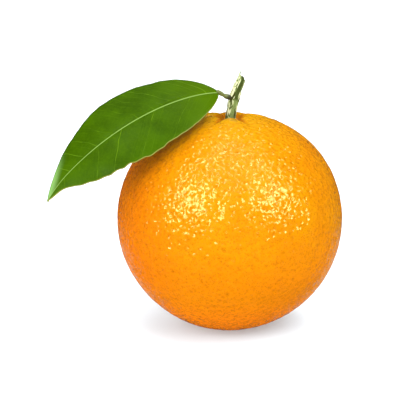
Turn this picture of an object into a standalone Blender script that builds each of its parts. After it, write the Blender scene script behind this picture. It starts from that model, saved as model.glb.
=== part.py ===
"""A picked sweet orange with its cut stem and one leaf. Metres, +Z up.

The origin is the centre of the flat spot that the fruit rests on. The leaf runs toward -X and turns
its glossy upper face to -Y. Every piece is a loft through closed rings of points, capped at both ends.
"""

import math

import bmesh
import bpy
from mathutils import Vector

UP = Vector((0, 0, 1))
GAP = 0.0003                             # left between two pieces that touch
SHARP_ANGLE = 40                         # degrees between two faces that no longer shade as one

FRUIT_RADIUS = 0.040
FRUIT_CENTRE_HEIGHT = 0.0392             # under the radius, which leaves the flat spot
CROWN_FLATTENING = 0.045                 # share of the radius lost at the stem end
FRUIT_SIDES = 72
FRUIT_RINGS = 40
RING_CROWDING = 1.4                      # over 1 crowds the rings toward the stem

HOLLOW_DEPTH = 0.0048                    # the steep hollow that the stem stands in
HOLLOW_RADIUS = 0.0040
DISH_DEPTH = 0.0005                      # the wide, shallow dish round the hollow
DISH_RADIUS = 0.009
FURROW_AZIMUTHS = (-118, -61, 15, 60, 108, 178)     # degrees, between the lobes round the stem
FURROW_DEPTH = 0.0024
FURROW_REACH = 0.0052                    # distance from the axis where a furrow is deepest
FURROW_HALF_WIDTH = 0.0005               # a crease between two rounded lobes
FURROW_SPREAD = 0.12                     # how much wider a furrow gets per metre outward

CALYX_RADIUS = 0.0024
CALYX_LOBE = 0.0004                      # how far the five lobes stand out of that circle
CALYX_LOBES = 5
CALYX_THICKNESS = 0.0007
CALYX_GAP = 0.0005                       # over the hollow's floor, whose flat facets cut its curve short
CALYX_SIDES = 40
CALYX_SHARES = (1, 0.75, 0.5, 0.15)      # of its radius, where its rings lie, from the rim inward

STEM_LENGTH = 0.0165
STEM_FOOT_X = -0.0001
STEM_LEAN = (6, 25)                      # degrees from upright, at the foot and at the top
STEM_HEADING = 13                        # degrees from +X toward +Y, the way it leans
STEM_RADIUS = (0.0018, 0.0016)           # at the foot and at the top
NODE_PLACE = 0.50                        # share of the length, where the leaf's stalk joins
NODE_SWELLING = 0.0003
NODE_LENGTH = 0.14                       # share of the length
STEM_SIDES = 20
STEM_RINGS = 20
TEAR_SLANT = 0.0008                      # the torn top falls by this much on either side
SPLINTER_HEIGHT = 0.0009
SPLINTER_AZIMUTH = 190                   # degrees
SPLINTER_WIDTH = 0.5                     # share of the stem's radius
TEAR_DEPTH = 0.0008                      # the torn middle lies this much under its rim
TEAR_STEP = (0.6, 1 / 3)                 # inside the rim: shares of the radius and of the rim's height
TEAR_CORE = 0.2                          # share of the radius, where the middle is flat

PETIOLE_RADIUS = (0.00095, 0.0008)       # at the twig and at the leaf
PETIOLE_SIDES = 12
PETIOLE_RINGS = 8
PETIOLE_BOW = 0.0002                     # how far its middle sags out of a straight line

LEAF_FOOT = Vector((-0.0040, -0.0030, 0.0846))
LEAF_LENGTH = 0.0708                     # before it is carried forward
LEAF_CARRY = Vector((0, -0.0220, 0.0040))    # how far its tip is carried forward
LEAF_PITCH = (-4, 53)                    # degrees below level, at the foot and at the tip
LEAF_ARCH = 0.6                          # under 1 bends the leaf most near its foot
LEAF_HEADING = (14, -12)                 # degrees from -X toward -Y, at the foot and at the tip
LEAF_ROLL = (26, 60)                     # degrees that the front edge is turned down
LEAF_CUP = 15                            # degrees that each half curls down at its edge
FRONT_HALF = (0.0150, 0.6, 0.95)         # widest, fullness of the foot, taper of the tip
BACK_HALF = (0.0155, 0.65, 0.90)
LEAF_LEAST_HALF = 0.0004
LEAF_THICKNESS = 0.0004
LEAF_RINGS = 36
LEAF_CROSSINGS = 10


def mix(ends, share):
    return ends[0] + (ends[1] - ends[0]) * share


def shares(count):
    return [step / count for step in range(count + 1)]


def azimuths(sides):
    return [math.tau * side / sides for side in range(sides)]


def level(azimuth):
    return Vector((math.cos(azimuth), math.sin(azimuth), 0))


def finish(name, rings, colour, roughness):
    """Join rings of equal count into one closed, outward-facing, smooth-shaded object."""
    mesh_maker = bmesh.new()
    loops = [[mesh_maker.verts.new(point) for point in ring] for ring in rings]
    count = len(loops[0])
    for lower, upper in zip(loops, loops[1:]):
        for side in range(count):
            after = (side + 1) % count
            mesh_maker.faces.new((lower[side], lower[after], upper[after], upper[side]))
    mesh_maker.faces.new(reversed(loops[0]))
    mesh_maker.faces.new(loops[-1])
    bmesh.ops.recalc_face_normals(mesh_maker, faces=mesh_maker.faces)
    mesh = bpy.data.meshes.new(name)
    mesh_maker.to_mesh(mesh)
    mesh_maker.free()
    mesh.shade_smooth()
    mesh.set_sharp_from_angle(angle=math.radians(SHARP_ANGLE))
    mesh.materials.append(surface(name, colour, roughness))
    piece = bpy.data.objects.new(name, mesh)
    bpy.context.scene.collection.objects.link(piece)
    return piece


def surface(name, colour, roughness):
    material = bpy.data.materials.new(name)
    material.use_nodes = True
    shader = material.node_tree.nodes["Principled BSDF"]
    shader.inputs["Base Color"].default_value = (*colour, 1)
    shader.inputs["Roughness"].default_value = roughness
    shader.inputs["Metallic"].default_value = 0
    return material


# ---- Fruit ----

def furrow_depth(reach, azimuth):
    """Depth of the furrows between the lobes, at a distance from the axis and an azimuth."""
    along = (reach / FURROW_REACH) ** 2 * math.exp(2 * (1 - reach / FURROW_REACH))
    half_width = FURROW_HALF_WIDTH + FURROW_SPREAD * reach
    depth = 0
    for degrees in FURROW_AZIMUTHS:
        turn = azimuth - math.radians(degrees)
        if math.cos(turn) > 0:
            depth += FURROW_DEPTH * math.exp(-abs(reach * math.sin(turn)) / half_width)
    return along * depth


def crown_sink(reach, azimuth):
    """How far the skin lies under the plain round form, near the stem."""
    hollow = HOLLOW_DEPTH * math.exp(-(reach / HOLLOW_RADIUS) ** 3)
    dish = DISH_DEPTH * math.exp(-(reach / DISH_RADIUS) ** 2)
    return hollow + dish + furrow_depth(reach, azimuth)


def fruit_point(polar, azimuth):
    """Skin of the fruit at an angle from +Z and an azimuth."""
    upness = max(math.cos(polar), 0)
    radius = FRUIT_RADIUS * (1 - CROWN_FLATTENING * upness ** 2)
    reach = radius * math.sin(polar)
    height = FRUIT_CENTRE_HEIGHT + radius * math.cos(polar)
    if upness > 0:
        height -= crown_sink(reach, azimuth)
    return level(azimuth) * reach + UP * height


def floor_height(reach, azimuth):
    """Height of the hollow's floor, close to the axis."""
    return fruit_point(math.asin(reach / (FRUIT_RADIUS * (1 - CROWN_FLATTENING))), azimuth).z


def make_fruit():
    last = math.acos(-FRUIT_CENTRE_HEIGHT / FRUIT_RADIUS)
    rings = []
    for share in shares(FRUIT_RINGS)[1:]:
        polar = last * share ** RING_CROWDING
        rings.append([fruit_point(polar, azimuth) for azimuth in azimuths(FRUIT_SIDES)])
    finish("fruit", rings, colour=(0.93, 0.34, 0.01), roughness=0.35)


# ---- Calyx ----

def calyx_ring(share, lift):
    """One ring of the star, at a share of its radius and a lift above the hollow's floor."""
    ring = []
    for azimuth in azimuths(CALYX_SIDES):
        reach = share * (CALYX_RADIUS + CALYX_LOBE * math.cos(CALYX_LOBES * azimuth))
        ring.append(level(azimuth) * reach + UP * (floor_height(reach, azimuth) + lift))
    return ring


def make_calyx():
    under = [calyx_ring(share, CALYX_GAP) for share in reversed(CALYX_SHARES)]
    over = [calyx_ring(share, CALYX_GAP + CALYX_THICKNESS) for share in CALYX_SHARES]
    finish("calyx", under + over, colour=(0.16, 0.20, 0.03), roughness=0.7)


# ---- Stem ----

def stem_foot():
    height = floor_height(0, 0) + CALYX_GAP + CALYX_THICKNESS + GAP
    return Vector((STEM_FOOT_X, 0, height))


def stem_centre(share):
    """Point on the stem's curved centreline: an arc that leans over more and more."""
    start = math.radians(STEM_LEAN[0])
    turn = math.radians(STEM_LEAN[1] - STEM_LEAN[0])
    radius = STEM_LENGTH / turn
    now = start + turn * share
    aside = radius * (math.cos(start) - math.cos(now))
    rise = radius * (math.sin(now) - math.sin(start))
    return stem_foot() + level(math.radians(STEM_HEADING)) * aside + UP * rise


def stem_radius(share):
    swelling = NODE_SWELLING * math.exp(-((share - NODE_PLACE) / NODE_LENGTH) ** 2)
    return mix(STEM_RADIUS, share) + swelling


def stem_direction(share):
    lean = math.radians(mix(STEM_LEAN, share))
    return level(math.radians(STEM_HEADING)) * math.sin(lean) + UP * math.cos(lean)


def stem_ring(share, scale=1, lift=None):
    direction = stem_direction(share)
    across = UP.cross(level(math.radians(STEM_HEADING)))
    forward = across.cross(direction)
    ring = []
    for azimuth in azimuths(STEM_SIDES):
        turn = azimuth - math.radians(STEM_HEADING)
        outward = forward * math.cos(turn) + across * math.sin(turn)
        point = stem_centre(share) + outward * stem_radius(share) * scale
        ring.append(point + direction * (lift(azimuth) if lift else 0))
    return ring


def tear(azimuth):
    """Height of the torn rim over a square cut: a slant, and one splinter left standing."""
    turn = azimuth - math.radians(SPLINTER_AZIMUTH)
    aside = 2 * math.sin(turn / 2)
    return TEAR_SLANT * math.cos(turn) + SPLINTER_HEIGHT * math.exp(-(aside / SPLINTER_WIDTH) ** 2)


def make_stem():
    inside, rise = TEAR_STEP
    rings = [stem_ring(share) for share in shares(STEM_RINGS)[:-1]]
    rings.append(stem_ring(1, lift=tear))
    rings.append(stem_ring(1, scale=inside, lift=lambda azimuth: tear(azimuth) * rise - TEAR_DEPTH))
    rings.append(stem_ring(1, scale=TEAR_CORE, lift=lambda azimuth: -TEAR_DEPTH))
    finish("stem", rings, colour=(0.46, 0.47, 0.22), roughness=0.75)


# ---- Petiole ----

def make_petiole():
    joint = stem_centre(NODE_PLACE)
    line = (LEAF_FOOT - joint).normalized()
    start = joint + line * (stem_radius(NODE_PLACE) + GAP)
    end = LEAF_FOOT - line * GAP
    across = line.cross(UP).normalized()
    rise = across.cross(line)
    rings = []
    for share in shares(PETIOLE_RINGS):
        centre = start.lerp(end, share) - rise * PETIOLE_BOW * math.sin(math.pi * share)
        radius = mix(PETIOLE_RADIUS, math.sin(math.pi / 2 * share))
        rings.append([centre + (across * math.cos(azimuth) + rise * math.sin(azimuth)) * radius
                      for azimuth in azimuths(PETIOLE_SIDES)])
    finish("petiole", rings, colour=(0.10, 0.16, 0.02), roughness=0.55)


# ---- Leaf ----

def leaf_direction(share):
    pitch = math.radians(mix(LEAF_PITCH, share ** LEAF_ARCH))
    heading = math.radians(mix(LEAF_HEADING, share))
    forward = Vector((-math.cos(heading), -math.sin(heading), 0))
    return forward * math.cos(pitch) - UP * math.sin(pitch)


def midrib():
    """Points along the leaf's middle: it bends over, and is carried forward evenly from its foot."""
    points = [LEAF_FOOT.copy()]
    for share in shares(LEAF_RINGS)[:-1]:
        step = leaf_direction(share + 0.5 / LEAF_RINGS) * LEAF_LENGTH + LEAF_CARRY
        points.append(points[-1] + step / LEAF_RINGS)
    return points


def half_width(shape, share):
    """A blade that swells from its foot, is widest where the two powers balance, and tapers."""
    widest, swell, taper = shape
    peak = swell / (swell + taper)
    full = (share / peak) ** swell * ((1 - share) / (1 - peak)) ** taper
    return max(widest * full, LEAF_LEAST_HALF)


def leaf_ring(middle, share):
    """The blade's section: its upper face from back to front, then its under face back again."""
    direction = leaf_direction(share)
    front = UP.cross(direction).normalized()
    face = direction.cross(front)
    roll = math.radians(mix(LEAF_ROLL, share))
    rolled_front = front * math.cos(roll) - face * math.sin(roll)
    rolled_face = front * math.sin(roll) + face * math.cos(roll)
    upper, under = [], []
    for crossing in shares(LEAF_CROSSINGS):
        place = 2 * crossing - 1
        half = half_width(FRONT_HALF if place > 0 else BACK_HALF, share)
        curl = math.radians(LEAF_CUP) * abs(place)
        outward = half * place * math.cos(curl / 2)
        drop = half * abs(place) * math.sin(curl / 2)
        point = middle + rolled_front * outward - rolled_face * drop
        upper.append(point + rolled_face * LEAF_THICKNESS / 2)
        under.append(point - rolled_face * LEAF_THICKNESS / 2)
    return upper + under[::-1]


def make_leaf():
    rings = [leaf_ring(middle, share) for middle, share in zip(midrib(), shares(LEAF_RINGS))]
    finish("leaf", rings, colour=(0.08, 0.22, 0.01), roughness=0.4)


def clear_scene():
    for item in list(bpy.data.objects):
        bpy.data.objects.remove(item, do_unlink=True)


clear_scene()
make_fruit()
make_calyx()
make_stem()
make_petiole()
make_leaf()
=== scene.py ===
"""The looks of a picked orange with its stem and one leaf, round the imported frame. Metres, +Z up."""

import math

import bmesh
import bpy
import numpy as np
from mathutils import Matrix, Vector, kdtree, noise


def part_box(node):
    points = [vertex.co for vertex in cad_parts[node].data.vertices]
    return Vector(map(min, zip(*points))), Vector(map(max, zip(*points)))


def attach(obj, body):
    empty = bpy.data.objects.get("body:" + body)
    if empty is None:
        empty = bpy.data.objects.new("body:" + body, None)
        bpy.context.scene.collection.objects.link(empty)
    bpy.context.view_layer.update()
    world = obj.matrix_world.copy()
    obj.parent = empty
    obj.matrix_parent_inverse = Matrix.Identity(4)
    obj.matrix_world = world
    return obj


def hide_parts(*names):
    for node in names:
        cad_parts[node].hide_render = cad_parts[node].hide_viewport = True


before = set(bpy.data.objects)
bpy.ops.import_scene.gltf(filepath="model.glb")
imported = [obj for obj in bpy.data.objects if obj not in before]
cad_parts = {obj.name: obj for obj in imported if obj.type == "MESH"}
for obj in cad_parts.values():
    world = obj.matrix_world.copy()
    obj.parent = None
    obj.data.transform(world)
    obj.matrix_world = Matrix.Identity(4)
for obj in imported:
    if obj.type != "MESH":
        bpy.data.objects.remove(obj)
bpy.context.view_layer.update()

UP = Vector((0, 0, 1))
MM = 0.001

fruit_low, fruit_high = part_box("fruit")
FRUIT_RADIUS = (fruit_high.x - fruit_low.x) / 2
FRUIT_CENTRE_HEIGHT = 0.98 * FRUIT_RADIUS     # the rest of the radius is pressed into the flat spot
CROWN_FLATTENING = 0.045                      # share of the radius lost at the stem end

# The hollow round the stem, and the furrows between the lobes round it.
HOLLOW_DEPTH = 4.8 * MM
HOLLOW_RADIUS = 4.0 * MM
DISH_DEPTH = 0.5 * MM
DISH_RADIUS = 9 * MM
FURROW_AZIMUTHS = (-118, -61, 15, 60, 108, 178)    # degrees
FURROW_DEPTH = 2.4 * MM
FURROW_REACH = 5.2 * MM                       # distance from the axis where a furrow is deepest
FURROW_HALF_WIDTH = 0.5 * MM
FURROW_SPREAD = 0.12                          # how much wider a furrow gets per metre outward

# Oil glands, the pits of the peel. Each is a corner of the net that the skin's mesh is made from.
PIT_COUNT = 5600
PIT_JITTER = 0.45                             # share of the pits' spacing
PIT_SPLITS = 4                                # mesh edges from one pit to the next
PIT_DEPTH = 0.36 * MM
PIT_RADIUS = 0.56 * MM
PIT_RADII = (0.7, 1.35)                       # the smallest and the largest, as shares of that
PIT_STRENGTHS = (0.45, 1.25)                  # the shallowest and the deepest
SWELL_HEIGHT = 0.10 * MM                      # the uneven swell between pits
SWELL_SIZE = 1.5 * MM

SCAR_RADIUS = 1.8 * MM                        # the flower's scar under the fruit
SCAR_DEPTH = 0.5 * MM

# The leaf. Its front half lies toward -Y, and its back half toward +Y.
LEAF_FOOT = Vector((-4.0, -3.0, 84.6)) * MM
LEAF_LENGTH = 70.8 * MM                       # before it is carried forward
LEAF_CARRY = Vector((0, -22, 4)) * MM         # how far its tip is carried forward
LEAF_PITCH = (-4, 53)                         # degrees below level, at the foot and at the tip
LEAF_ARCH = 0.6                               # under 1 bends the leaf most near its foot
LEAF_HEADING = (14, -12)                      # degrees from -X toward -Y, at the foot and at the tip
LEAF_ROLL = (26, 60)                          # degrees that the front edge is turned down
LEAF_CUP = 15                                 # degrees that each half curls down at its edge
FRONT_HALF = (15.0 * MM, 0.6, 0.95)           # widest, fullness of the foot, taper of the tip
BACK_HALF = (15.5 * MM, 0.65, 0.90)
LEAF_LEAST_HALF = 0.4 * MM
LEAF_THICKNESS = 0.34 * MM
LEAF_RINGS = 200
LEAF_CROSSINGS = 64

# The stem, the leaf's stalk and the calyx.
STEM_LEAN = (6, 25)                           # degrees from upright, at the foot and at the top
STEM_HEADING = 13                             # degrees from +X toward +Y, the way it leans
STEM_LENGTH = 16.5 * MM
STEM_FOOT = Vector((-0.1 * MM, 0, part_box("stem")[0].z))
STEM_RADIUS = (1.8 * MM, 1.6 * MM)
NODE_PLACE = 0.50                             # share of the length, where the leaf's stalk joins
NODE_SWELLING = 0.3 * MM
NODE_LENGTH = 0.14                            # share of the length
STEM_SIDES = 72
STEM_RINGS = 150
BARK_RELIEF = 0.45 * MM                       # from the bottom of a groove to a ridge
BARK_MEAN = 0.6                               # the bark's height that lies on the stem's radius
TORN_WOOD = 0.15                              # the height that the bare wood of the torn top counts as
BARK_WANDER = 0.35                            # radians that the ridges turn aside on their way up
BROAD_PITCH = (2.3, 3.2)                      # lumps round the stem and along it, the more the finer
FINE_PITCH = (5.5, 7)
CRACK_PITCH = (4.6, 6.5)
RIDGE_BLEND = (0.6, 0.8, 0.55)                # the bark's mean height, its broad and its fine ridges
CRACK_WIDTH = 0.30                            # of the fine cracks, as a share of their spacing
STRIP_AZIMUTH = -72                           # degrees, where the bark has come off
STRIP_HALF = 0.42                             # its half width, as a share of the stem's radius
STRIP_RAGGED = 0.5                            # how much its half width varies
STRIP_LOWER = 0.7                             # share of the bark's height that is missing there
TEAR_SLANT = 0.8 * MM                         # the torn top falls by this much on either side
TEAR_RAGGED = 0.35 * MM
TEAR_START = 0.85                             # share of the length where the top starts to fray
SPLINTERS = ((190, 1.1 * MM, 0.32), (285, 0.5 * MM, 0.4))    # azimuth in degrees, height, width
TEAR_STEPS = ((0.8, 0.75), (0.55, 0.3), (0.25, 0.1))    # going in: shares of the radius and of the rim
TEAR_DEPTH = 0.8 * MM                         # the torn middle lies this much under its rim
PETIOLE_RADIUS = (0.88 * MM, 0.68 * MM)       # at the twig and at the leaf
PETIOLE_RINGS = 40
PETIOLE_SIDES = 32
PETIOLE_BOW = 0.2 * MM
PETIOLE_BULGES = ((0.25, 0.14, 0.10 * MM), (0.50, 0.12, -0.12 * MM), (0.78, 0.10, 0.08 * MM))
PETIOLE_RIDGES = 0.07 * MM
PETIOLE_SUNK = (0.25 * MM, 0.6 * MM)          # how far it runs into the twig, and past the leaf's foot
JOINT_LENGTH = 0.4                            # share of the petiole that is browned by its joint
CALYX_RADIUS = 1.9 * MM
CALYX_LOBE = 0.9 * MM                         # how far the five lobes stand out of that circle
CALYX_LOBES = 5
CALYX_POINTING = 0.7                          # under 1 makes the lobes broad
CALYX_THICKNESS = 0.8 * MM
CALYX_EDGE = 0.25 * MM
CALYX_LIFT = 0.1 * MM                         # its under side over the fruit's skin
CALYX_WRINKLE = 0.08 * MM
CALYX_SIDES = 100
CALYX_RINGS = 8
CALYX_STEP = 0.12                             # of its radius, from one ring to the next

# Finer shapes of the skin and of the leaf.
REST_EDGE = 0.2 * MM                          # rounds the rim of the flat spot
SLOW_HEIGHT = 0.3 * MM                        # the slow wave over the whole skin
SLOW_SIZE = 24 * MM
CROWN_RADIUS = 16 * MM                        # the yellower skin round the stem, partly its own tone and partly painted light of the brightly lit top

CROSSING_CROWDING = 1.5                       # over 1 crowds the leaf's mesh toward its midrib
TIP_DRAWN_IN = (0.15, 0.35)                   # back and front: share of the width lost near the tip
TIP_PLACE = 0.93
TIP_SPAN = 0.07
TIP_DROOP = 1.3 * MM                          # how far the last of the tip bends down
TIP_START = 0.85
EDGE_UNEVEN = (0.015, 0.035)                  # back and front: how ragged the margin is
EDGE_WAVES = 26                               # the more, the finer its raggedness
GROOVE_DEPTH = 0.25 * MM                      # along the midrib
GROOVE_HALF = 0.9 * MM
EDGE_THINNING = 0.6                           # share of the blade's thickness lost at its margin
MARGIN_WAVES = (2.2, 3.6)                     # along the back and the front margin
MARGIN_LIFT = 0.5 * MM
RIB_RADIUS = 0.55 * MM                        # the midrib under the leaf, at its foot
RIB_TAPER = 0.85                              # share of it lost at the tip

# The peel's finish. Heights and reaches without MM are in millimetres, like the marks on the mesh.
PATCH_SIZE = 11 * MM                          # of the uneven orange of the skin
SPECK_SIZE = 1.6 * MM
SPECK_SHARE = 0.1                             # how strongly they show, and so for the other shares
DOT_SIZE = 0.75 * MM                          # from one fine dark dot to the next: painted shade for the peel's finest pits
DOT_EDGES = (0.42, 0.15)                      # its rim and its dark middle, as shares of that size
DOT_SHARE = 0.55
PIT_SHADE_DEPTHS = (0.15, 0.9)                      # shares of the depth where a pit's painted shade fades in
PIT_SHADE_SHARE = 0.22
SCAR_EDGES = (0.3, 0.8)                       # the same for the scar
LOW_HEIGHTS = (48.0, 22.0)                    # painted shade and light low down: less green, as where less light falls, and more red to brighten it; it fades in from here down to here
LOW_SHARE = 0.8
# painted light: the skin brightens toward the foot, as if lit from the floor, from here down to here
FOOT_HEIGHTS = (20.0, 3.0)
LEAF_SIDE_SHADE_REACH = (12.0, 38.0)                    # painted shade of the leaf's shadow: a redder tone fades in, from the axis toward the leaf's side
LEAF_SIDE_SHADE_SHARE = 0.65
CROWN_SHARE = 0.8
HOLLOW_SINK = (0.15, 1.3)                     # the skin's depth where the painted shade of the hollow and the furrows fades in
HOLLOW_SHADE_SHARE = 0.7
PEBBLE_SIZE = 0.9 * MM
PEBBLE_HEIGHT = 0.10 * MM
GRAIN_SIZE = 0.35 * MM
GRAIN_HEIGHT = 0.03 * MM
FACET_SIZE = 0.80 * MM                        # of the flat patches between the pits
FACET_LEAN = 1.0                              # the higher, the more they lean
PEEL_ROUGHNESS = (0.07, 0.13)
PEEL_GLOSS = 0.55
PEEL_GLOSS_TINT = (1, 0.93, 0.4, 1)
SKIN_SCATTER = 0.08                           # share of the light that spreads inside the skin
SKIN_SCATTER_REACH = (1.0, 0.35, 0.06)        # red, green and blue, as shares of the depth
SKIN_SCATTER_DEPTH = 2 * MM

# The leaf's finish. Lengths without MM are in millimetres too.
VEIN_SPACING = (3.2, 1.3)                     # the side veins, and the small ones between them
VEIN_HALF = (0.24, 0.12)
VEIN_LEAN = 0.55                              # how strongly the side veins lean toward the tip
VEIN_BEND = 1.15                              # over 1 makes them lean more near the margin
VEIN_STRAY = 3.0                              # how far they wander
VEIN_STRAY_SIZE = 9.0
VEIN_PLACES = (0.25, 0.75)                    # where a vein may stand in its stretch of the blade
SIDE_SHIFT = 50.0                             # places on in the row of random numbers, for the front half
VEIN_RARITY = 2.5                             # the higher, the fewer side veins show
VEIN_BREAKS = 4 * MM                          # length of the stretches where a vein shows or fades
SMALL_VEIN_SHARE = 0.2
RIB_LENGTH = 71.0                             # over which the midrib narrows
RIB_HALF = (0.32, 0.13)                       # at the foot and at the tip
RIB_EDGES = (1.1, 0.5)                        # where its colour fades in, as shares of that
RIB_SHARE = 0.85
LEAF_PATCH_SIZE = 7 * MM
LEAF_MOTTLE_SIZE = 0.8 * MM
LEAF_MOTTLE_SHARE = 0.25
BASE_REACH = (24.0, 4.0)                      # the paler foot fades in from here to here along the leaf
BASE_SHARE = 0.6
SHEEN_REACH = (56.0, 66.0)                    # the painted sheen along the back margin fades in near the tip
SHEEN_WIDTH = (4.5, 0.6)                      # and from here to here, measured from the margin
SHEEN_SHARE = 0.9
RIM_WIDTH = (0.45, 0.1)                       # the painted line along the margin: painted light on the front half, painted shade on the back half
RIM_SHARE = 0.8
UNDER_VEIN_SHARE = 0.6
QUILT_HEIGHT = 0.12 * MM                      # how deep the veins are pressed into the blade
QUILT_SHARES = (-0.5, -0.2)                   # of the side veins and of the small ones
LEAF_GRAIN_SIZE = 0.5 * MM
LEAF_GRAIN_HEIGHT = 0.02 * MM
LEAF_ROUGHNESS = (0.34, 0.6)                  # upper and under face
LEAF_IOR = 1.07                               # low, since its edges hardly mirror the studio

# The finish of the woody pieces.
BARK_STEPS = ((0.12, 0.42), (0.38, 0.62))     # the bark's height where green, then cream, fades in
MOSS_SIZE = 3 * MM
MOSS_SHARE = 0.4
STRIP_EDGES = (0.2, 0.6)                      # shares of missing bark where its colour fades in
STRIP_GREEN = 0.7
STRIP_OLIVE = 0.92
STRIP_CHANGE = 0.04                           # share of the stem's length, from green to olive
FLECK_SIZE = 0.35 * MM
FLECK_SHARE = 0.5
BARK_GRAIN = (0.3 * MM, 0.06 * MM)            # size and height
BARK_ROUGHNESS = (0.85, 0.6)                  # in the grooves and on the ridges
BARK_GLOSS = 0.1
JOINT_EDGES = (0.3, 0.8)
PETIOLE_FLECK_SIZE = 0.5 * MM
PETIOLE_GRAIN = (0.3 * MM, 0.05 * MM)
PETIOLE_ROUGHNESS_SIZE = 0.6 * MM
PETIOLE_ROUGHNESS = (0.45, 0.65)
CALYX_PATCH_SIZE = 0.9 * MM
CALYX_GRAIN = (0.25 * MM, 0.05 * MM)
CALYX_ROUGHNESS = (0.6, 0.8)

# Colours, linear.
PEEL_BRIGHT = (0.57, 0.21, 0.001, 1)
PEEL_DEEP = (0.55, 0.185, 0.001, 1)
# painted shade and light of the low skin
PEEL_LOW_LIGHT_AND_SHADE = (0.64, 0.172, 0.001, 1)
# painted light at the foot
PEEL_FOOT_LIGHT = (0.95, 0.215, 0.002, 1)
# painted shade: the redder tone on the leaf's side stands for its shadow
PEEL_LEAF_SIDE_SHADE = (0.66, 0.125, 0.001, 1)
# the specks' own darker tone, also used as painted shade in the dots and pits
PEEL_SPECK_AND_SHADE = (0.32, 0.095, 0.001, 1)
# painted shade in the hollow and the furrows
PEEL_HOLLOW_SHADE = (0.38, 0.075, 0.001, 1)
# partly the skin's own yellower tone round the stem, partly painted light of the bright top
PEEL_CROWN_TONE_AND_LIGHT = (0.50, 0.285, 0.001, 1)
PEEL_SCAR = (0.20, 0.10, 0.03, 1)
LEAF_DEEP = (0.023, 0.058, 0.0002, 1)
LEAF_BRIGHT = (0.034, 0.083, 0.0003, 1)
LEAF_PALE = (0.055, 0.115, 0.0004, 1)
LEAF_VEIN = (0.10, 0.20, 0.006, 1)
LEAF_RIB = (0.18, 0.29, 0.06, 1)
# painted light along the front margin, and painted shade along the back margin
LEAF_RIM_LIGHT = (0.26, 0.24, 0.05, 1)
LEAF_RIM_SHADE = (0.015, 0.035, 0.0005, 1)
# painted sheen near the tip
LEAF_TIP_SHEEN = (0.17, 0.32, 0.085, 1)
LEAF_UNDER = (0.10, 0.17, 0.036, 1)
LEAF_UNDER_PALE = (0.13, 0.20, 0.054, 1)
BARK_RIDGE = (0.64, 0.64, 0.38, 1)
BARK_GREEN = (0.22, 0.30, 0.09, 1)
BARK_GROOVE = (0.035, 0.035, 0.004, 1)
BARK_OLIVE = (0.03, 0.045, 0.003, 1)
PETIOLE_GREEN = (0.13, 0.155, 0.03, 1)
PETIOLE_BROWN = (0.022, 0.024, 0.003, 1)
CALYX_GREEN = (0.096, 0.12, 0.024, 1)
CALYX_BROWN = (0.096, 0.054, 0.018, 1)

# The studio. Each lamp's name, the direction toward it, its strength, how many degrees across it is, and
# its role: a "gloss" lamp is only mirrored, and a "fill" lamp only lights.
LAMPS = (
    ("softbox_left", (-0.60, -0.66, 0.47), 3.2, 28, "gloss"),
    ("softbox_right", (0.66, -0.56, 0.49), 3.4, 28, "gloss"),
    ("spot_left", (-0.30, -0.20, 0.93), 0.8, 10, "gloss"),
    ("spot_right", (0.40, -0.15, 0.90), 0.8, 10, "gloss"),
    ("spot_top", (0.02, 0.22, 0.97), 0.4, 8, "gloss"),
    ("key", (0.42, -0.50, 0.76), 3.3, 50, "fill"),
    ("front", (-0.15, -0.90, 0.38), 2.0, 50, "fill"),
    ("overhead", (0.0, 0.10, 0.99), 1.6, 45, "fill"),
    ("back", (-0.15, 0.80, 0.57), 1.9, 50, "fill"),
    ("low_left", (-0.78, -0.48, 0.40), 1.8, 50, "fill"),
)
ROOM_STRENGTH = 0.05                          # the dim studio all round
ROOM_TINT = (1.0, 0.92, 0.78, 1)
SWEEP_STRENGTH = 0.75                         # the white sweep low behind the object
SWEEP_BACK = (0.5, 0.9)                       # how far toward +Y its light fades in, as a sine
SWEEP_HEIGHT = -0.45                          # the middle of the sweep above the horizon, as a sine
SWEEP_HALF = (0.25, 0.1)                      # where it fades in, above and below its middle
SWEEP_SHADED = (0.08, 0.3)                    # it is dark straight behind, and fades in to either side
FLOOR_HALF = 6                                # metres
FLOOR_WHITE = (0.66, 0.70, 0.73, 1)
FLOOR_GLOW = 0.45                             # light of its own, as if it were lit from below too
CAMERA_ELEVATION = 13                         # degrees
CAMERA_DISTANCE = 0.533
CAMERA_AIM = Vector((-10.5, 1.4, 45.2)) * MM
LENS = 135                                    # millimetres, and so for the sensor
SENSOR_WIDTH = 36


def mix(ends, share):
    return ends[0] + (ends[1] - ends[0]) * share


def shares(count):
    return [step / count for step in range(count + 1)]


def azimuths(sides):
    return [math.tau * side / sides for side in range(sides)]


def level(azimuth):
    return Vector((math.cos(azimuth), math.sin(azimuth), 0))


def bump_noise(point, size, seed):
    """Smooth noise between about -1 and 1, with lumps of about that size in metres."""
    return noise.noise(point / size + Vector((seed, 2 * seed, 3 * seed)))


def keep_piece(name, mesh, look, replaced):
    """Make an object of a mesh with its material, hide the CAD node that it stands for, and hang it under
    the root body.
    """
    mesh.shade_smooth()
    mesh.materials.append(look)
    piece = bpy.data.objects.new(name, mesh)
    bpy.context.scene.collection.objects.link(piece)
    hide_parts(replaced)
    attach(piece, "root")


def loft(name, rings):
    """A closed mesh through rings of equal count. Its vertices stay in the rings' order."""
    count = len(rings[0])
    points = [point for ring in rings for point in ring]
    faces = [tuple(reversed(range(count)))]
    for start in range(0, len(points) - count, count):
        for side in range(count):
            after = (side + 1) % count
            faces.append((start + side, start + after, start + count + after, start + count + side))
    faces.append(tuple(range(len(points) - count, len(points))))
    mesh = bpy.data.meshes.new(name)
    mesh.from_pydata(points, [], faces)
    shape = bmesh.new()
    shape.from_mesh(mesh)
    bmesh.ops.recalc_face_normals(shape, faces=shape.faces)
    shape.to_mesh(mesh)
    shape.free()
    return mesh


def mark(mesh, name, values):
    """Store one number per vertex, for the material to read."""
    layer = mesh.attributes.new(name, "FLOAT", "POINT")
    layer.data.foreach_set("value", np.asarray(values, np.float32))


# ---- Node materials ----

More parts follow.
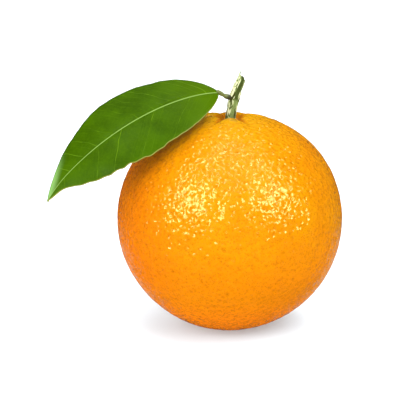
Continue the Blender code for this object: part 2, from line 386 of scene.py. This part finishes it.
class Look:
    """The nodes of a material or world in the making. Each call adds a node and returns its output."""

    def __init__(self, owner, shader="Principled BSDF"):
        owner.use_nodes = True
        self.owner = owner
        self.tree = owner.node_tree
        self.shader = self.tree.nodes[shader]

    def fill(self, socket, value):
        if isinstance(value, bpy.types.NodeSocket):
            self.tree.links.new(value, socket)
        else:
            socket.default_value = value

    def node(self, kind, inputs, **settings):
        made = self.tree.nodes.new(kind)
        for key, value in settings.items():
            setattr(made, key, value)
        for key, value in inputs.items():
            self.fill(made.inputs[key], value)
        return made

    def surface(self, **inputs):
        for key, value in inputs.items():
            self.fill(self.shader.inputs[key.replace("_", " ").title()], value)

    def value(self, attribute):
        return self.node("ShaderNodeAttribute", {}, attribute_name=attribute).outputs["Fac"]

    def place(self):
        return self.node("ShaderNodeTexCoord", {}).outputs["Object"]

    def noise(self, size, detail, where=None):
        inputs = {"Vector": where or self.place(), "Scale": 1 / size, "Detail": detail}
        return self.node("ShaderNodeTexNoise", inputs).outputs["Fac"]

    def mottle(self, size, detail, levels, ends=(0.0, 1.0)):
        """Noise of that size, eased from one end to the other between two of its levels."""
        return self.span(self.noise(size, detail), *levels, *ends)

    def dots(self, spacing):
        """Distance to the nearest of many scattered points, as a share of their spacing."""
        inputs = {"Vector": self.place(), "Scale": 1 / spacing}
        return self.node("ShaderNodeTexVoronoi", inputs).outputs["Distance"]

    def facets(self, size, lean, under):
        """The normal under it, leaning its own way on each of many small patches. Most hardly lean."""
        inputs = {"Vector": self.place(), "Scale": 1 / size}
        warp = self.node("ShaderNodeTexNoise", inputs).outputs["Color"]
        inputs["Vector"] = self.vector("MULTIPLY_ADD", warp, (size,) * 3, self.place())
        patch = self.node("ShaderNodeTexVoronoi", inputs).outputs["Color"]
        aside = self.vector("SUBTRACT", patch, (0.5,) * 3)
        dot = self.node("ShaderNodeVectorMath", {0: aside, 1: aside}, operation="DOT_PRODUCT")
        scale = {0: aside, "Scale": self.math("MULTIPLY", dot.outputs["Value"], lean)}
        tilt = self.node("ShaderNodeVectorMath", scale, operation="SCALE").outputs[0]
        return self.vector("NORMALIZE", self.vector("ADD", under, tilt))

    def vector(self, operation, *values):
        return self.node("ShaderNodeVectorMath", dict(enumerate(values)), operation=operation).outputs[0]

    def math(self, operation, *values):
        return self.node("ShaderNodeMath", dict(enumerate(values)), operation=operation).outputs[0]

    def span(self, value, low, high, start=0.0, end=1.0):
        """Value from low to high becomes start to end, eased and held at both ends."""
        inputs = {"Value": value, "From Min": low, "From Max": high, "To Min": start, "To Max": end}
        made = self.node("ShaderNodeMapRange", inputs, interpolation_type="SMOOTHSTEP")
        return made.outputs["Result"]

    def blend(self, share, colour, other):
        made = self.node("ShaderNodeMix", {0: share, 6: colour, 7: other}, data_type="RGBA")
        return made.outputs[2]

    def bump(self, height, distance, under=None):
        inputs = {"Height": height, "Distance": distance, "Strength": 1.0}
        if under:
            inputs["Normal"] = under
        return self.node("ShaderNodeBump", inputs).outputs["Normal"]

    def grain(self, size, height, detail, under=None):
        return self.bump(self.noise(size, detail), height, under)


# ---- Fruit ----

def pit_directions():
    """An even spiral of points over the unit sphere, shaken so that no rows show."""
    number = np.arange(PIT_COUNT) + 0.5
    height = 1 - 2 * number / PIT_COUNT
    turn = number * math.pi * (1 + math.sqrt(5))
    across = np.sqrt(1 - height ** 2)
    points = np.stack([across * np.cos(turn), across * np.sin(turn), height], axis=1)
    spacing = math.sqrt(4 * math.pi / PIT_COUNT)
    points += np.random.default_rng(seed=7).uniform(-1, 1, points.shape) * spacing * PIT_JITTER
    return points / np.linalg.norm(points, axis=1, keepdims=True)


def furrow_depth(reach, azimuth):
    """Depth of the furrows between the lobes, at distances from the axis and azimuths."""
    along = (reach / FURROW_REACH) ** 2 * np.exp(2 * (1 - reach / FURROW_REACH))
    half_width = FURROW_HALF_WIDTH + FURROW_SPREAD * reach
    depth = np.zeros_like(reach)
    for degrees in FURROW_AZIMUTHS:
        turn = azimuth - math.radians(degrees)
        aside = np.exp(-np.abs(reach * np.sin(turn)) / half_width)
        depth += FURROW_DEPTH * aside * (np.cos(turn) > 0)
    return along * depth


def crown_sink(points):
    """How far the skin lies under the plain round form, near the stem."""
    reach = np.hypot(points[:, 0], points[:, 1])
    azimuth = np.arctan2(points[:, 1], points[:, 0])
    hollow = HOLLOW_DEPTH * np.exp(-(reach / HOLLOW_RADIUS) ** 3)
    dish = DISH_DEPTH * np.exp(-(reach / DISH_RADIUS) ** 2)
    return hollow + dish + furrow_depth(reach, azimuth)


def skin_points(directions):
    """Places of the smooth skin in these directions from the fruit's centre."""
    upness = np.maximum(directions[:, 2], 0)
    radius = FRUIT_RADIUS * (1 - CROWN_FLATTENING * upness ** 2)
    points = directions * radius[:, None]
    points[:, 2] -= crown_sink(points) * (upness > 0)
    points[:, 2] += FRUIT_CENTRE_HEIGHT
    return points


def pit_net(directions):
    """A closed net of triangles from pit to pit, each split into smaller ones, on the unit sphere."""
    shape = bmesh.new()
    for direction in directions:
        shape.verts.new(direction)
    bmesh.ops.convex_hull(shape, input=shape.verts)
    bmesh.ops.subdivide_edges(shape, edges=shape.edges, cuts=PIT_SPLITS - 1, use_grid_fill=True)
    for vertex in shape.verts:
        vertex.co.normalize()
    bmesh.ops.recalc_face_normals(shape, faces=shape.faces)
    mesh = bpy.data.meshes.new("fruit_skin")
    shape.to_mesh(mesh)
    shape.free()
    return mesh


def coordinates(mesh, kind="co"):
    values = np.empty(len(mesh.vertices) * 3, np.float32)
    mesh.vertices.foreach_get(kind, values)
    return values.reshape(-1, 3).astype(float)


def pit_relief(points, centres):
    """How deep in a pit each point lies, from 0 to about 1, with large and small pits."""
    tree = kdtree.KDTree(len(centres))
    for index, centre in enumerate(centres):
        tree.insert(centre, index)
    tree.balance()
    found = [tree.find(point) for point in points]
    nearest = np.array([index for _, index, _ in found])
    distance = np.array([gap for _, _, gap in found])
    draw = np.random.default_rng(seed=11)
    radius = PIT_RADIUS * draw.uniform(*PIT_RADII, len(centres))[nearest]
    strength = draw.uniform(*PIT_STRENGTHS, len(centres))[nearest]
    return strength * np.exp(-(distance / radius) ** 2)


def skin_swell(points):
    """The skin's own unevenness: a slow wave over the fruit and small swellings between the pits."""
    slow = [bump_noise(Vector(point), SLOW_SIZE, seed=3) for point in points]
    quick = [bump_noise(Vector(point), SWELL_SIZE, seed=5) for point in points]
    return SLOW_HEIGHT * np.array(slow) + SWELL_HEIGHT * np.array(quick)


def make_fruit():
    directions = pit_directions()
    mesh = pit_net(directions)
    points = skin_points(coordinates(mesh))
    mesh.vertices.foreach_set("co", points.ravel())
    mesh.update()
    outward = coordinates(mesh, "normal")
    pits = pit_relief(points, skin_points(directions))
    reach = np.hypot(points[:, 0], points[:, 1])
    under = points[:, 2] < FRUIT_CENTRE_HEIGHT
    scar = np.exp(-(reach / SCAR_RADIUS) ** 4) * under
    depth = PIT_DEPTH * pits - skin_swell(points) * (1 - scar)
    points -= outward * depth[:, None]
    height = points[:, 2]
    points[:, 2] = (height + np.sqrt(height ** 2 + REST_EDGE ** 2)) / 2 + SCAR_DEPTH * scar
    mesh.vertices.foreach_set("co", points.ravel())
    mark(mesh, "pit", pits)
    mark(mesh, "scar", scar)
    mark(mesh, "crown", np.exp(-(reach / CROWN_RADIUS) ** 2) * (1 - under))
    mark(mesh, "height", points[:, 2] / MM)
    mark(mesh, "leaf_side_shade", -points[:, 0] / MM)
    # how far the skin is sunk in the hollow and the furrows, for their painted shade
    mark(mesh, "hollow", (crown_sink(points) - DISH_DEPTH) * (1 - under) / MM)
    keep_piece("fruit_skin", mesh, peel_look(), "fruit")


def peel_colour(look):
    """Painted light and shade for the most part: redder low down and brighter at the foot, redder toward
    the leaf's side under its shadow, yellower round the stem partly for the bright top, darker in dots,
    pits and hollow. Fine darker specks too.
    """
    height = look.value("height")
    leaf_side_shade = look.span(look.value("leaf_side_shade"), *LEAF_SIDE_SHADE_REACH, 0.0, LEAF_SIDE_SHADE_SHARE)
    specks = look.mottle(SPECK_SIZE, 3.0, levels=(0.45, 0.75), ends=(0.0, SPECK_SHARE))
    dots = look.span(look.dots(DOT_SIZE), *DOT_EDGES, 0.0, DOT_SHARE)
    pits = look.span(look.value("pit"), *PIT_SHADE_DEPTHS, 0.0, PIT_SHADE_SHARE)
    colour = look.blend(look.mottle(PATCH_SIZE, 3.0, levels=(0.35, 0.65)), PEEL_DEEP, PEEL_BRIGHT)
    layers = (
        # painted shade and light: the low skin's tone
        (look.span(height, *LOW_HEIGHTS, 0.0, LOW_SHARE), PEEL_LOW_LIGHT_AND_SHADE),
        # painted light at the foot
        (look.span(height, *FOOT_HEIGHTS), PEEL_FOOT_LIGHT),
        # painted shade: the redder tone on the leaf's side, for its shadow
        (leaf_side_shade, PEEL_LEAF_SIDE_SHADE),
        (specks, PEEL_SPECK_AND_SHADE),
        # painted shade: fine dark dots for the shade in the peel's finest pits
        (dots, PEEL_SPECK_AND_SHADE),
        # painted shade: the pits are darkened where shade falls in them
        (pits, PEEL_SPECK_AND_SHADE),
        # partly own tone, partly painted light: yellower round the stem
        (look.math("MULTIPLY", look.value("crown"), CROWN_SHARE), PEEL_CROWN_TONE_AND_LIGHT),
        # painted shade in the hollow and the furrows
        (look.span(look.value("hollow"), *HOLLOW_SINK, 0.0, HOLLOW_SHADE_SHARE), PEEL_HOLLOW_SHADE),
        (look.span(look.value("scar"), *SCAR_EDGES), PEEL_SCAR),
    )
    for share, paint in layers:
        colour = look.blend(share, colour, paint)
    return colour


def peel_look():
    look = Look(bpy.data.materials.new("peel"))
    pebbles = look.grain(PEBBLE_SIZE, PEBBLE_HEIGHT, 1.0)
    grain = look.grain(GRAIN_SIZE, GRAIN_HEIGHT, 2.0, under=pebbles)
    facets = look.facets(FACET_SIZE, FACET_LEAN, grain)
    roughness = look.mottle(SWELL_SIZE, 2.0, levels=(0.3, 0.7), ends=PEEL_ROUGHNESS)
    look.surface(base_color=peel_colour(look), roughness=roughness, normal=facets)
    look.shader.inputs["Specular IOR Level"].default_value = PEEL_GLOSS
    look.shader.inputs["Specular Tint"].default_value = PEEL_GLOSS_TINT
    look.shader.inputs["Subsurface Weight"].default_value = SKIN_SCATTER
    look.shader.inputs["Subsurface Radius"].default_value = SKIN_SCATTER_REACH
    look.shader.inputs["Subsurface Scale"].default_value = SKIN_SCATTER_DEPTH
    return look.owner


# ---- Leaf ----

def leaf_direction(share):
    pitch = math.radians(mix(LEAF_PITCH, share ** LEAF_ARCH))
    heading = math.radians(mix(LEAF_HEADING, share))
    forward = Vector((-math.cos(heading), -math.sin(heading), 0))
    return forward * math.cos(pitch) - UP * math.sin(pitch)


def midrib():
    """Points along the leaf's middle: it bends over, and is carried forward evenly from its foot."""
    points = [LEAF_FOOT.copy()]
    for share in shares(LEAF_RINGS)[:-1]:
        step = leaf_direction(share + 0.5 / LEAF_RINGS) * LEAF_LENGTH + LEAF_CARRY
        points.append(points[-1] + step / LEAF_RINGS)
    for point, share in zip(points, shares(LEAF_RINGS)):
        point.z -= TIP_DROOP * max(0, (share - TIP_START) / (1 - TIP_START)) ** 2
    return points


def half_width(shape, share, side):
    """A blade that swells from its foot, tapers, and draws in again before its tip."""
    widest, swell, taper = shape
    peak = swell / (swell + taper)
    full = (share / peak) ** swell * ((1 - share) / (1 - peak)) ** taper
    point = 1 - TIP_DRAWN_IN[side] * math.exp(-((share - TIP_PLACE) / TIP_SPAN) ** 2)
    nibble = 1 + EDGE_UNEVEN[side] * noise.noise(Vector((share * EDGE_WAVES, side * 9, 4)))
    return max(widest * full * point * nibble, LEAF_LEAST_HALF)


def leaf_lift(share, place, half):
    """How far the blade rises from its smooth form: a groove along the midrib and a wavy margin."""
    aside = abs(place) * half
    groove = -GROOVE_DEPTH * math.exp(-(aside / GROOVE_HALF) ** 2) * (1 - share)
    side = 1 if place > 0 else 0
    wave = math.sin(math.tau * share * MARGIN_WAVES[side] + side)
    wave += noise.noise(Vector((share * 9, side * 5, 2)))
    return groove + MARGIN_LIFT * wave * abs(place) ** 3 * math.sin(math.pi * share)


def leaf_section(middle, share):
    """Upper and under points of the blade from back to front, and what the material reads there."""
    direction = leaf_direction(share)
    front = UP.cross(direction).normalized()
    face = direction.cross(front)
    roll = math.radians(mix(LEAF_ROLL, share))
    rolled_front = front * math.cos(roll) - face * math.sin(roll)
    rolled_face = front * math.sin(roll) + face * math.cos(roll)
    upper, under, marks = [], [], []
    for crossing in shares(LEAF_CROSSINGS):
        evenly = 2 * crossing - 1
        place = math.copysign(abs(evenly) ** CROSSING_CROWDING, evenly)
        side = 1 if place > 0 else 0
        half = half_width(FRONT_HALF if side else BACK_HALF, share, side)
        curl = math.radians(LEAF_CUP) * abs(place)
        aside = half * abs(place)
        point = middle + rolled_front * math.copysign(aside * math.cos(curl / 2), place)
        point += rolled_face * (leaf_lift(share, place, half) - aside * math.sin(curl / 2))
        thickness = LEAF_THICKNESS * (1 - EDGE_THINNING * abs(place) ** 6)
        rib = RIB_RADIUS * (1 - RIB_TAPER * share) * math.exp(-(aside / RIB_RADIUS) ** 2)
        upper.append(point)
        under.append(point - rolled_face * (thickness + rib))
        marks.append((share * LEAF_LENGTH, math.copysign(aside, place), half - aside))
    return upper, under, marks


def make_leaf():
    rings, marks, under_side = [], [], []
    for middle, share in zip(midrib(), shares(LEAF_RINGS)):
        upper, under, section = leaf_section(middle, share)
        rings.append(upper + under[::-1])
        marks += section + section[::-1]
        under_side += [0] * len(upper) + [1] * len(under)
    mesh = loft("leaf_blade", rings)
    for name, values in zip(("along", "across", "margin"), np.array(marks).T):
        mark(mesh, name, values / MM)
    mark(mesh, "under", under_side)
    keep_piece("leaf_blade", mesh, leaf_look(), "leaf")


def side_veins(look, spacing, half, seed):
    """Side veins that lean toward the tip, from 0 to 1. They stand unevenly, and some hardly show."""
    along = look.value("along")
    across = look.value("across")
    bend = look.math("POWER", look.math("ABSOLUTE", across), VEIN_BEND)
    lean = look.math("MULTIPLY", bend, VEIN_LEAN)
    where = look.node("ShaderNodeCombineXYZ", {0: along, 1: across, 2: seed}).outputs[0]
    stray = look.math("MULTIPLY", look.noise(VEIN_STRAY_SIZE, 1.0, where), VEIN_STRAY)
    count = look.math("DIVIDE", look.math("SUBTRACT", look.math("ADD", along, stray), lean), spacing)
    other_side = look.math("MULTIPLY", look.math("GREATER_THAN", across, 0.0), SIDE_SHIFT)
    number = look.math("ADD", look.math("FLOOR", count), look.math("ADD", other_side, seed))
    own = look.node("ShaderNodeTexWhiteNoise", {"W": number}, noise_dimensions="1D").outputs["Value"]
    place = look.span(own, 0.0, 1.0, *VEIN_PLACES)
    away = look.math("ABSOLUTE", look.math("SUBTRACT", look.math("FRACT", count), place))
    line = look.span(look.math("MULTIPLY", away, spacing), half, 0.0)
    return look.math("MULTIPLY", line, look.math("POWER", own, VEIN_RARITY))


def upper_colour(look, patches, rib, veins, small):
    """The leaf's glossy face: deep green, with fine mottling, veins and a midrib, painted light along its
    front margin, painted shade along its back margin, and a painted sheen near the tip.
    """
    along = look.value("along")
    margin = look.value("margin")
    back = look.math("LESS_THAN", look.value("across"), 0.0)
    breaks = look.mottle(VEIN_BREAKS, 1.0, levels=(0.4, 0.6), ends=(0.25, 1.0))
    mottle = look.mottle(LEAF_MOTTLE_SIZE, 3.0, levels=(0.35, 0.75), ends=(0.0, LEAF_MOTTLE_SHARE))
    tip = look.math("MULTIPLY", look.span(along, *SHEEN_REACH, 0.0, SHEEN_SHARE), back)
    sheen = look.math("MULTIPLY", tip, look.span(margin, *SHEEN_WIDTH))
    layers = (
        (look.span(along, *BASE_REACH, 0.0, BASE_SHARE), LEAF_PALE),
        (mottle, LEAF_PALE),
        (look.math("MULTIPLY", veins, breaks), LEAF_VEIN),
        (look.math("MULTIPLY", small, SMALL_VEIN_SHARE), LEAF_VEIN),
        (look.math("MULTIPLY", rib, RIB_SHARE), LEAF_RIB),
        # painted sheen along the back margin near the tip
        (sheen, LEAF_TIP_SHEEN),
        # painted light on the front margin, painted shade on the back margin
        (look.span(margin, *RIM_WIDTH, 0.0, RIM_SHARE), look.blend(back, LEAF_RIM_LIGHT, LEAF_RIM_SHADE)),
    )
    colour = look.blend(patches, LEAF_DEEP, LEAF_BRIGHT)
    for share, paint in layers:
        colour = look.blend(share, colour, paint)
    return colour


def leaf_look():
    look = Look(bpy.data.materials.new("leaf"))
    aside = look.math("ABSOLUTE", look.value("across"))
    patches = look.mottle(LEAF_PATCH_SIZE, 3.0, levels=(0.3, 0.7))
    veins = side_veins(look, VEIN_SPACING[0], VEIN_HALF[0], seed=1.0)
    small = side_veins(look, VEIN_SPACING[1], VEIN_HALF[1], seed=6.0)
    rib_half = look.span(look.value("along"), 0.0, RIB_LENGTH, *RIB_HALF)
    rib = look.span(look.math("DIVIDE", aside, rib_half), *RIB_EDGES)
    upper = upper_colour(look, patches, rib, veins, small)
    under = look.blend(patches, LEAF_UNDER, LEAF_UNDER_PALE)
    raised_veins = look.math("MAXIMUM", rib, look.math("MULTIPLY", veins, UNDER_VEIN_SHARE))
    under = look.blend(raised_veins, under, LEAF_RIB)
    below = look.value("under")
    pressed = [look.math("MULTIPLY", net, share) for net, share in zip((veins, small), QUILT_SHARES)]
    quilt = look.bump(look.math("ADD", *pressed), QUILT_HEIGHT)
    grain = look.grain(LEAF_GRAIN_SIZE, LEAF_GRAIN_HEIGHT, 2.0, under=quilt)
    look.surface(base_color=look.blend(below, upper, under), normal=grain)
    look.surface(roughness=look.span(below, 0.0, 1.0, *LEAF_ROUGHNESS))
    look.shader.inputs["IOR"].default_value = LEAF_IOR
    return look.owner


# ---- Stem, petiole and calyx ----

def stem_centre(share):
    """Point on the stem's curved centreline: an arc that leans over more and more."""
    start = math.radians(STEM_LEAN[0])
    turn = math.radians(STEM_LEAN[1] - STEM_LEAN[0])
    radius = STEM_LENGTH / turn
    now = start + turn * share
    aside = radius * (math.cos(start) - math.cos(now))
    rise = radius * (math.sin(now) - math.sin(start))
    return STEM_FOOT + level(math.radians(STEM_HEADING)) * aside + UP * rise


def stem_axes(share):
    """The stem's direction, and the two ways across it, at a share of its length."""
    lean = math.radians(mix(STEM_LEAN, share))
    heading = level(math.radians(STEM_HEADING))
    direction = heading * math.sin(lean) + UP * math.cos(lean)
    across = UP.cross(heading)
    return direction, across.cross(direction), across


def stem_radius(share):
    swelling = NODE_SWELLING * math.exp(-((share - NODE_PLACE) / NODE_LENGTH) ** 2)
    return mix(STEM_RADIUS, share) + swelling


def stripped(share, azimuth):
    """How much of the bark has come off there, from 0 to 1: a strip up the stem with uneven edges."""
    aside = 2 * math.sin((azimuth - math.radians(STRIP_AZIMUTH)) / 2)
    ragged = 1 + STRIP_RAGGED * noise.noise(Vector((share * 6, 3 * math.cos(azimuth), 5)))
    return math.exp(-(aside / (STRIP_HALF * ragged)) ** 4)


def bark_lumps(turn, share, pitch, lift=0):
    """Noise between about -1 and 1, in lumps drawn out along the stem."""
    around, along = pitch
    return noise.noise(Vector((turn.x * around, turn.y * around, share * along + lift)))


def bark_height(share, azimuth):
    """Height of the bark from 0 in a groove to 1 on a ridge. Ridges run along the stem and wander."""
    turn = level(azimuth + BARK_WANDER * noise.noise(Vector((share * 5, 0, 7))))
    mean, broad, fine = RIDGE_BLEND
    height = mean + broad * bark_lumps(turn, share, BROAD_PITCH)
    height += fine * bark_lumps(turn, share, FINE_PITCH)
    crack = abs(bark_lumps(turn, share, CRACK_PITCH, lift=9))
    whole = min(max(height, 0), 1) * min(crack / CRACK_WIDTH, 1)
    return whole * (1 - STRIP_LOWER * stripped(share, azimuth))


def tear(azimuth):
    """Height of the torn rim over a square cut: a slant, and splinters left standing."""
    height = TEAR_SLANT * math.cos(azimuth - math.radians(SPLINTERS[0][0]))
    for degrees, rise, width in SPLINTERS:
        aside = 2 * math.sin((azimuth - math.radians(degrees)) / 2)
        height += rise * math.exp(-(aside / width) ** 2)
    return height + TEAR_RAGGED * noise.noise(level(azimuth) * 4 + UP * 3)


def stem_ring(share, torn, scale=1.0, sunk=0.0, bark=True):
    """Points round the stem, and the bark's height at each. Torn is their share of the rim's rise."""
    direction, forward, across = stem_axes(share)
    points, heights = [], []
    for azimuth in azimuths(STEM_SIDES):
        turn = azimuth - math.radians(STEM_HEADING)
        outward = forward * math.cos(turn) + across * math.sin(turn)
        height = bark_height(share, azimuth) if bark else TORN_WOOD
        radius = stem_radius(share) * scale + BARK_RELIEF * (height - BARK_MEAN) * scale
        rise = tear(azimuth) * torn - sunk
        points.append(stem_centre(share) + outward * radius + direction * rise)
        heights.append(height)
    return points, heights


def make_stem():
    rings, heights, bared = [], [], []
    for share in shares(STEM_RINGS):
        frayed = max(0, (share - TEAR_START) / (1 - TEAR_START)) ** 2
        ring, height = stem_ring(share, frayed)
        rings.append(ring)
        heights += height
        bared += [stripped(share, azimuth) for azimuth in azimuths(STEM_SIDES)]
    for scale, torn in TEAR_STEPS:
        ring, height = stem_ring(1.0, torn, scale, sunk=TEAR_DEPTH * (1 - torn), bark=False)
        rings.append(ring)
        heights += height
        bared += [0] * STEM_SIDES
    mesh = loft("stem_bark", rings)
    mark(mesh, "bark", heights)
    mark(mesh, "bared", bared)
    rows = shares(STEM_RINGS) + [1.0] * len(TEAR_STEPS)
    mark(mesh, "up", [share for share in rows for side in range(STEM_SIDES)])
    keep_piece("stem_bark", mesh, bark_look(), "stem")


def bark_look():
    """Cream ridges, dark cracks, and a strip without bark, green low down and dark olive higher up."""
    look = Look(bpy.data.materials.new("bark"))
    height = look.value("bark")
    bared = look.span(look.value("bared"), *STRIP_EDGES)
    change = (NODE_PLACE - STRIP_CHANGE, NODE_PLACE + STRIP_CHANGE)
    above = look.span(look.value("up"), *change, 0.0, STRIP_OLIVE)
    layers = (
        (look.span(height, *BARK_STEPS[1]), BARK_RIDGE),
        (look.mottle(MOSS_SIZE, 2.0, levels=(0.5, 0.7), ends=(0.0, MOSS_SHARE)), BARK_GREEN),
        (look.math("MULTIPLY", bared, STRIP_GREEN), BARK_GREEN),
        (look.math("MULTIPLY", bared, above), BARK_OLIVE),
        (look.mottle(FLECK_SIZE, 3.0, levels=(0.5, 0.75), ends=(0.0, FLECK_SHARE)), BARK_GROOVE),
    )
    colour = look.blend(look.span(height, *BARK_STEPS[0]), BARK_GROOVE, BARK_GREEN)
    for share, paint in layers:
        colour = look.blend(share, colour, paint)
    roughness = look.span(height, 0.0, 1.0, *BARK_ROUGHNESS)
    look.surface(base_color=colour, roughness=roughness, normal=look.grain(*BARK_GRAIN, 3.0))
    look.shader.inputs["Specular IOR Level"].default_value = BARK_GLOSS
    return look.owner


def petiole_girth(share):
    girth = mix(PETIOLE_RADIUS, share)
    for place, spread, bulge in PETIOLE_BULGES:
        girth += bulge * math.exp(-((share - place) / spread) ** 2)
    return girth


def make_petiole():
    joint = stem_centre(NODE_PLACE)
    line = (LEAF_FOOT - joint).normalized()
    start = joint + line * (stem_radius(NODE_PLACE) - PETIOLE_SUNK[0])
    end = LEAF_FOOT + line * PETIOLE_SUNK[1]
    across = line.cross(UP).normalized()
    rise = across.cross(line)
    rings = []
    for share in shares(PETIOLE_RINGS):
        centre = start.lerp(end, share) - rise * PETIOLE_BOW * math.sin(math.pi * share)
        girth = petiole_girth(share)
        ring = []
        for azimuth in azimuths(PETIOLE_SIDES):
            radius = girth + PETIOLE_RIDGES * noise.noise(level(azimuth) * 3 + UP * 4 * share)
            ring.append(centre + (across * math.cos(azimuth) + rise * math.sin(azimuth)) * radius)
        rings.append(ring)
    mesh = loft("petiole_stalk", rings)
    browned = [math.exp(-(share / JOINT_LENGTH) ** 2) for share in shares(PETIOLE_RINGS)]
    mark(mesh, "joint", np.repeat(browned, PETIOLE_SIDES))
    keep_piece("petiole_stalk", mesh, petiole_look(), "petiole")


def petiole_look():
    look = Look(bpy.data.materials.new("petiole"))
    colour = look.blend(look.span(look.value("joint"), *JOINT_EDGES), PETIOLE_GREEN, PETIOLE_BROWN)
    flecks = look.mottle(PETIOLE_FLECK_SIZE, 3.0, levels=(0.45, 0.7), ends=(0.0, FLECK_SHARE))
    colour = look.blend(flecks, colour, PETIOLE_BROWN)
    roughness = look.mottle(PETIOLE_ROUGHNESS_SIZE, 2.0, levels=(0.3, 0.7), ends=PETIOLE_ROUGHNESS)
    look.surface(base_color=colour, roughness=roughness, normal=look.grain(*PETIOLE_GRAIN, 3.0))
    return look.owner


def calyx_point(share, azimuth, lift):
    """A point of the five-lobed star, which follows the hollow's floor."""
    lobe = CALYX_LOBE * (0.5 + 0.5 * math.cos(CALYX_LOBES * azimuth)) ** CALYX_POINTING
    reach = share * (CALYX_RADIUS + lobe)
    wrinkle = CALYX_WRINKLE * share * noise.noise(level(azimuth) * 5 + UP * 6 * share)
    top = FRUIT_RADIUS * (1 - CROWN_FLATTENING)
    direction = np.array([[math.cos(azimuth) * reach, math.sin(azimuth) * reach, top]])
    direction /= np.linalg.norm(direction)
    floor = skin_points(direction)[0]
    return Vector(floor) + UP * (lift + wrinkle)


def make_calyx():
    inward = [1 - CALYX_STEP * step for step in range(CALYX_RINGS)]
    rings = []
    for share in reversed(inward):
        rings.append([calyx_point(share, azimuth, CALYX_LIFT) for azimuth in azimuths(CALYX_SIDES)])
    for share in inward:
        lift = CALYX_LIFT + CALYX_THICKNESS * (1 - share ** 4) + CALYX_EDGE * share ** 4
        rings.append([calyx_point(share, azimuth, lift) for azimuth in azimuths(CALYX_SIDES)])
    keep_piece("calyx_star", loft("calyx_star", rings), calyx_look(), "calyx")


def calyx_look():
    look = Look(bpy.data.materials.new("calyx"))
    patches = look.mottle(CALYX_PATCH_SIZE, 3.0, levels=(0.35, 0.65))
    colour = look.blend(patches, CALYX_GREEN, CALYX_BROWN)
    roughness = look.span(patches, 0.0, 1.0, *CALYX_ROUGHNESS)
    look.surface(base_color=colour, roughness=roughness, normal=look.grain(*CALYX_GRAIN, 3.0))
    return look.owner


# ---- Floor, light and camera ----

def studio_look(name, colour, roughness, glow, strength):
    """A material without gloss that also shines."""
    look = Look(bpy.data.materials.new(name))
    look.surface(base_color=colour, roughness=roughness)
    look.shader.inputs["Specular IOR Level"].default_value = 0.0
    look.shader.inputs["Emission Color"].default_value = glow
    look.shader.inputs["Emission Strength"].default_value = strength
    return look.owner


def make_floor():
    bpy.ops.mesh.primitive_plane_add(size=2 * FLOOR_HALF, location=(0, 0, 0))
    floor = bpy.context.object
    floor.name = "studio_floor"
    floor.visible_glossy = False
    floor.data.materials.append(studio_look("studio_floor", FLOOR_WHITE, 0.9, FLOOR_WHITE, FLOOR_GLOW))


def make_backdrop():
    """A white wall all round. Only the camera sees it, and the lamps shine through it."""
    bpy.ops.mesh.primitive_cylinder_add(radius=FLOOR_HALF, depth=2 * FLOOR_HALF, end_fill_type="NOTHING")
    wall = bpy.context.object
    wall.name = "studio_backdrop"
    wall.visible_diffuse = False
    wall.visible_glossy = False
    wall.visible_shadow = False
    wall.data.materials.append(studio_look("studio_backdrop", (0, 0, 0, 1), 1.0, (1, 1, 1, 1), 1.0))


def add_lamp(name, direction, strength, spread, role):
    """A far, round lamp, so that the whole floor is lit evenly."""
    lamp = bpy.data.lights.new(name, "SUN")
    lamp.energy = strength
    lamp.angle = math.radians(spread)
    light = bpy.data.objects.new(name, lamp)
    light.visible_glossy = role == "gloss"
    light.visible_diffuse = role == "fill"
    light.rotation_euler = Vector(direction).to_track_quat("Z", "Y").to_euler()
    bpy.context.scene.collection.objects.link(light)


def make_world():
    """A dim room with a white sweep low behind the object, which the edges of its gloss mirror."""
    look = Look(bpy.data.worlds.new("studio"), "Background")
    direction = look.node("ShaderNodeTexCoord", {}).outputs["Generated"]
    parts = look.node("ShaderNodeSeparateXYZ", {"Vector": direction}).outputs
    behind = look.span(parts["Y"], *SWEEP_BACK)
    away = look.math("ABSOLUTE", look.math("SUBTRACT", parts["Z"], SWEEP_HEIGHT))
    beside = look.span(look.math("ABSOLUTE", parts["X"]), *SWEEP_SHADED)
    sweep = look.math("MULTIPLY", look.math("MULTIPLY", behind, beside), look.span(away, *SWEEP_HALF))
    look.fill(look.shader.inputs["Strength"], look.span(sweep, 0.0, 1.0, ROOM_STRENGTH, SWEEP_STRENGTH))
    look.shader.inputs["Color"].default_value = ROOM_TINT
    return look.owner


def make_light():
    bpy.context.scene.world = make_world()
    for lamp in LAMPS:
        add_lamp(*lamp)
    bpy.context.scene.view_settings.view_transform = "Standard"
    bpy.context.scene.cycles.diffuse_bounces = 1    # light doesn't build up between skin and floor


def make_camera():
    elevation = math.radians(CAMERA_ELEVATION)
    back = Vector((0, -math.cos(elevation), math.sin(elevation)))
    lens = bpy.data.cameras.new("camera")
    lens.lens = LENS
    lens.sensor_width = SENSOR_WIDTH
    camera = bpy.data.objects.new("camera", lens)
    camera.location = CAMERA_AIM + back * CAMERA_DISTANCE
    camera.rotation_euler = back.to_track_quat("Z", "Y").to_euler()
    bpy.context.scene.collection.objects.link(camera)
    bpy.context.scene.camera = camera


make_fruit()
make_calyx()
make_stem()
make_petiole()
make_leaf()
make_floor()
make_backdrop()
make_light()
make_camera()
